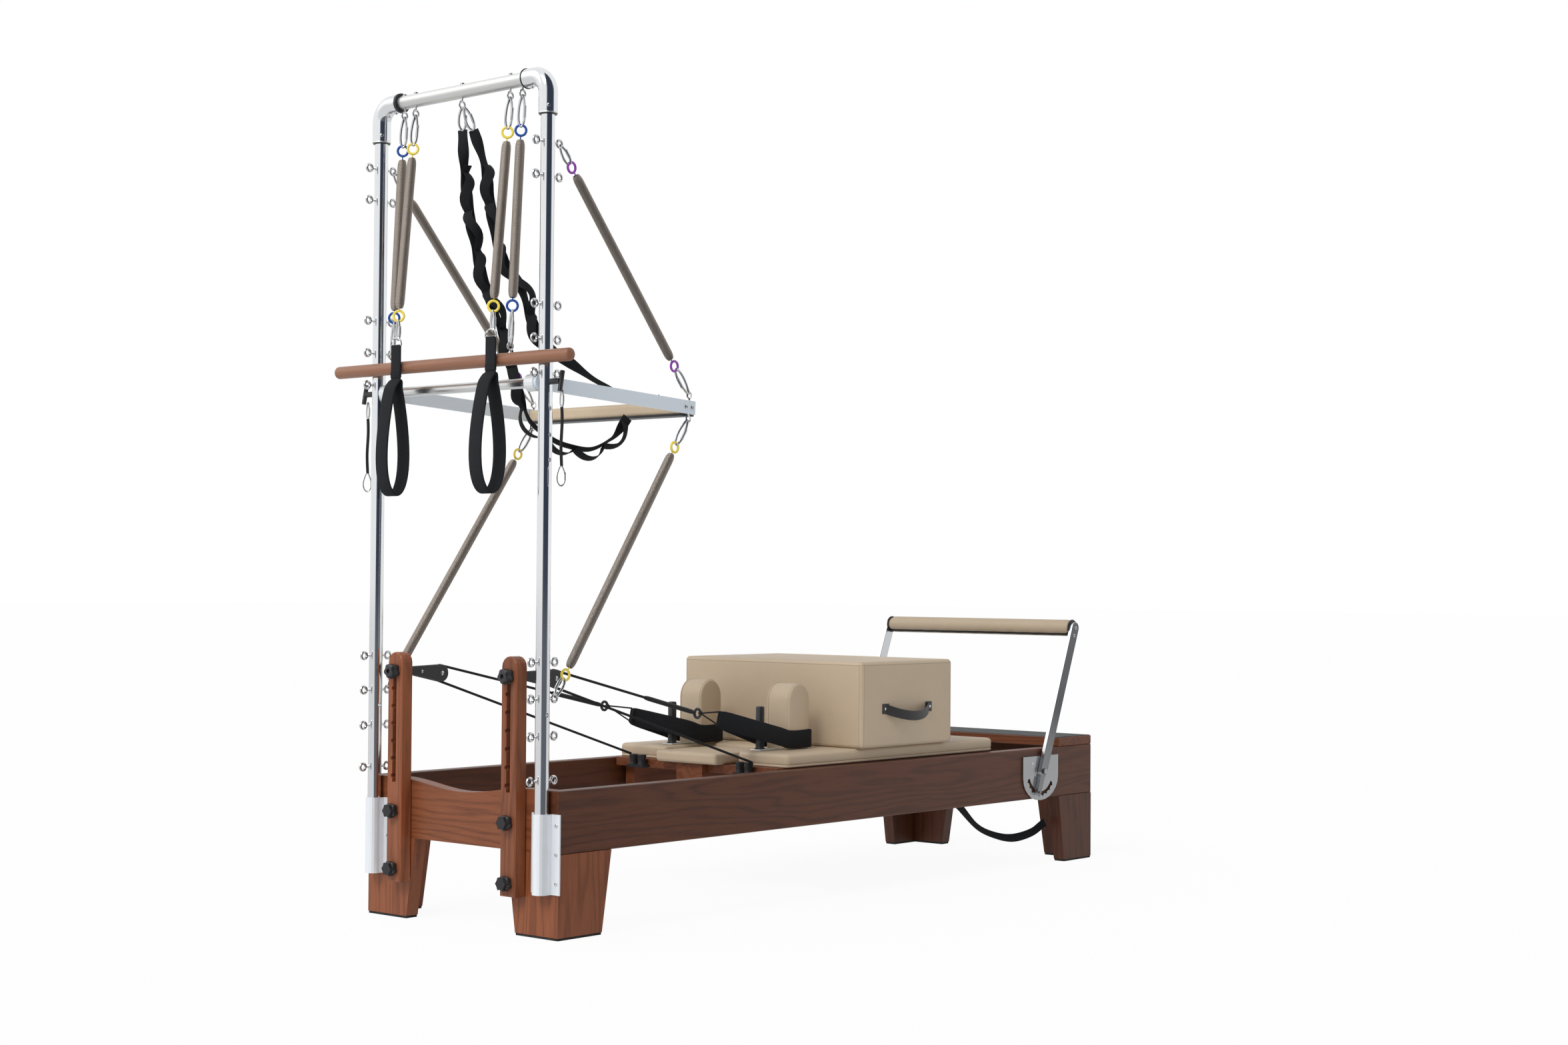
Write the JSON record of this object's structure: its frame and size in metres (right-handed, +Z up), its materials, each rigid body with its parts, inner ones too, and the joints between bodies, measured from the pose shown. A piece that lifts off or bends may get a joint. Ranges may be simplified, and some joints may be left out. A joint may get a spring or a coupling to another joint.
{
  "type": "pilates reformer with tower",
  "caption": "Timber pilates bed with a sliding padded carriage, footbar, rope pulleys and a steel spring tower carrying a push-through bar and roll-down bar.",
  "frame": {"origin": "on the floor under the middle of the object's bounding box", "axes": "+X along the bed towards the footbar end, +Y across the bed towards its far side as pictured, +Z up"},
  "size_m": [2.5276, 0.9, 2.174],
  "materials": {
    "red_oak": "satin lacquer over an open-grained red-brown stain",
    "polished_steel": "polished stainless steel",
    "aluminium": "satin",
    "anodised": "bluish grey anodised",
    "spring_steel": "nickel plated wire",
    "leatherette": "beige grained covering over foam",
    "black_plastic": "moulded black plastic",
    "webbing": "black woven webbing",
    "rope": "black braided rope",
    "bar_wood": "reddish brown satin lacquer"
  },
  "bodies": {
    "frame": {"side_rail_near": "red_oak", "side_rail_far": "red_oak", "head_board": "red_oak", "foot_board": "red_oak", "standing_platform": "red_oak", "leg_head_near": "red_oak", "leg_head_far": "red_oak", "leg_foot_near": "red_oak", "leg_foot_far": "red_oak", "tower_bracket_near": "aluminium", "tower_bracket_far": "aluminium", "tower_tube_near": "polished_steel", "tower_tube_far": "polished_steel", "tower_crossbar": "polished_steel", "riser_post_near": "red_oak", "riser_post_far": "red_oak", "pulley_block_near": "black_plastic", "pulley_block_far": "black_plastic", "footbar_plate_near": "polished_steel", "footbar_plate_far": "polished_steel", "carriage_springs": "spring_steel", "foot_strap": "webbing", "pull_rope_near": "rope", "pull_rope_far": "rope", "loop_slings": "webbing"},
    "carriage": {"carriage_base": "red_oak", "carriage_pad": "leatherette", "shoulder_rest_near": "leatherette", "shoulder_rest_far": "leatherette", "hand_strap_near": "webbing", "hand_strap_far": "webbing"},
    "headrest": {"headrest_pad": "leatherette"},
    "sitting_box": {"sitting_box": "leatherette"},
    "footbar": {"footbar_frame": "polished_steel", "footbar_pad": "leatherette"},
    "push_bar": {"push_bar_frame": "anodised", "push_bar_grip": "leatherette"},
    "upper_springs": {"push_spring_upper_near": "spring_steel", "push_spring_upper_far": "spring_steel"},
    "upper_hooks": {"push_clip_upper_near": "polished_steel", "push_clip_upper_far": "polished_steel"},
    "lower_springs": {"push_spring_lower_near": "spring_steel", "push_spring_lower_far": "spring_steel"},
    "lower_hooks": {"push_clip_lower_near": "polished_steel", "push_clip_lower_far": "polished_steel"},
    "roll_down": {"roll_down_bar": "bar_wood"},
    "wheel_head_near": {"wheel_head_near": "black_plastic"},
    "wheel_head_far": {"wheel_head_far": "black_plastic"},
    "wheel_foot_near": {"wheel_foot_near": "black_plastic"},
    "wheel_foot_far": {"wheel_foot_far": "black_plastic"},
    "sheave_near": {"pulley_sheave_near": "black_plastic"},
    "knob_near": {"height_knob_near": "black_plastic"},
    "pull_pin_near": {"pull_pin_near": "black_plastic"},
    "loop_spring_near": {"loop_spring_near": "spring_steel"},
    "hand_loop_near": {"hand_loop_near": "webbing"},
    "sheave_far": {"pulley_sheave_far": "black_plastic"},
    "knob_far": {"height_knob_far": "black_plastic"},
    "pull_pin_far": {"pull_pin_far": "black_plastic"},
    "loop_spring_far": {"loop_spring_far": "spring_steel"},
    "hand_loop_far": {"hand_loop_far": "webbing"}
  },
  "joints": [
    {"name": "carriage_slide", "type": "slide", "parent": "frame", "child": "carriage", "axis": [1, 0, 0], "range_m": [-0.48, 0], "stiffness_N_per_m": 120, "springref_m": 0.04, "deforming": ["carriage_springs", "pull_rope_near", "pull_rope_far"]},
    {"name": "wheel_head_near_spin", "type": "hinge", "parent": "carriage", "child": "wheel_head_near", "pos_m": [-0.15123, -0.3115, 0.3043], "axis": [0, 1, 0], "continuous": true},
    {"name": "wheel_head_far_spin", "type": "hinge", "parent": "carriage", "child": "wheel_head_far", "pos_m": [-0.15123, 0.3115, 0.3043], "axis": [0, 1, 0], "continuous": true},
    {"name": "wheel_foot_near_spin", "type": "hinge", "parent": "carriage", "child": "wheel_foot_near", "pos_m": [0.67877, -0.3115, 0.3043], "axis": [0, 1, 0], "continuous": true},
    {"name": "wheel_foot_far_spin", "type": "hinge", "parent": "carriage", "child": "wheel_foot_far", "pos_m": [0.67877, 0.3115, 0.3043], "axis": [0, 1, 0], "continuous": true},
    {"name": "headrest_tilt", "type": "hinge", "parent": "carriage", "child": "headrest", "pos_m": [-0.04123, 0, 0.3723], "axis": [0, 1, 0], "range_deg": [0, 25]},
    {"name": "box_lift", "type": "slide", "parent": "carriage", "child": "sitting_box", "axis": [0, 0, 1], "range_m": [0, 0.35]},
    {"name": "footbar_tilt", "type": "hinge", "parent": "frame", "child": "footbar", "pos_m": [0.96677, 0, 0.298], "axis": [0, 1, 0], "range_deg": [-75, 45]},
    {"name": "push_bar_hinge", "type": "hinge", "parent": "frame", "child": "push_bar", "pos_m": [-1.15483, 0, 1.3845], "axis": [0, 1, 0], "range_deg": [-20, 20], "stiffness_Nm_per_rad": 150, "springref_deg": -2.86, "deforming": ["loop_slings"]},
    {"name": "upper_spring_swing", "type": "hinge", "parent": "frame", "child": "upper_springs", "pos_m": [-1.11483, 0, 1.985], "axis": [0, 1, 0], "range_deg": [-10, 10]},
    {"name": "upper_spring_stretch", "type": "slide", "parent": "upper_springs", "child": "upper_hooks", "axis": [0.6472, 0, -0.7623], "range_m": [-0.18, 0.18], "deforming": ["push_spring_upper_near", "push_spring_upper_far"]},
    {"name": "lower_spring_swing", "type": "hinge", "parent": "frame", "child": "lower_springs", "pos_m": [-1.11483, 0, 0.597], "axis": [0, 1, 0], "range_deg": [-10, 10]},
    {"name": "lower_spring_stretch", "type": "slide", "parent": "lower_springs", "child": "lower_hooks", "axis": [0.5694, 0, 0.822], "range_m": [-0.18, 0.18], "deforming": ["push_spring_lower_near", "push_spring_lower_far"]},
    {"name": "pull_pin_near_pull", "type": "slide", "parent": "frame", "child": "pull_pin_near", "axis": [0, -1, 0], "range_m": [0, 0.025], "stiffness_N_per_m": 400, "springref_m": -0.01},
    {"name": "sheave_near_spin", "type": "hinge", "parent": "frame", "child": "sheave_near", "pos_m": [-1.02123, -0.2185, 0.641], "axis": [0, 1, 0], "continuous": true},
    {"name": "knob_near_turn", "type": "hinge", "parent": "frame", "child": "knob_near", "pos_m": [-1.17423, -0.2185, 0.6502], "axis": [1, 0, 0], "continuous": true},
    {"name": "pull_pin_far_pull", "type": "slide", "parent": "frame", "child": "pull_pin_far", "axis": [0, 1, 0], "range_m": [0, 0.025], "stiffness_N_per_m": 400, "springref_m": -0.01},
    {"name": "sheave_far_spin", "type": "hinge", "parent": "frame", "child": "sheave_far", "pos_m": [-1.02123, 0.2185, 0.641], "axis": [0, 1, 0], "continuous": true},
    {"name": "knob_far_turn", "type": "hinge", "parent": "frame", "child": "knob_far", "pos_m": [-1.17423, 0.2185, 0.6502], "axis": [1, 0, 0], "continuous": true},
    {"name": "roll_down_swing", "type": "hinge", "parent": "frame", "child": "roll_down", "pos_m": [-1.15483, 0, 2.118], "axis": [0, 1, 0], "range_deg": [0, 40]},
    {"name": "loop_near_swing", "type": "hinge", "parent": "roll_down", "child": "loop_spring_near", "pos_m": [-1.15483, -0.182, 2.118], "axis": [0, 1, 0], "range_deg": [0, 30]},
    {"name": "loop_near_pull", "type": "slide", "parent": "loop_spring_near", "child": "hand_loop_near", "axis": [-0.0938, 0, -0.9956], "range_m": [0, 0.3], "stiffness_N_per_m": 60, "springref_m": -0.06, "deforming": ["loop_spring_near"]},
    {"name": "loop_far_swing", "type": "hinge", "parent": "roll_down", "child": "loop_spring_far", "pos_m": [-1.15483, 0.182, 2.118], "axis": [0, 1, 0], "range_deg": [0, 30]},
    {"name": "loop_far_pull", "type": "slide", "parent": "loop_spring_far", "child": "hand_loop_far", "axis": [-0.0938, 0, -0.9956], "range_m": [0, 0.3], "stiffness_N_per_m": 60, "springref_m": -0.06, "deforming": ["loop_spring_far"]}
  ],
  "couplings": [
    {"joint": "wheel_head_near_spin", "follows": "carriage_slide", "rad_per_m": 40},
    {"joint": "wheel_head_far_spin", "follows": "carriage_slide", "rad_per_m": 40},
    {"joint": "wheel_foot_near_spin", "follows": "carriage_slide", "rad_per_m": 40},
    {"joint": "wheel_foot_far_spin", "follows": "carriage_slide", "rad_per_m": 40},
    {"joint": "upper_spring_swing", "follows": "push_bar_hinge", "ratio": 0.44861},
    {"joint": "upper_spring_stretch", "follows": "push_bar_hinge", "m_per_rad": 0.41912},
    {"joint": "lower_spring_swing", "follows": "push_bar_hinge", "ratio": 0.29373},
    {"joint": "lower_spring_stretch", "follows": "push_bar_hinge", "m_per_rad": -0.48132}
  ]
}
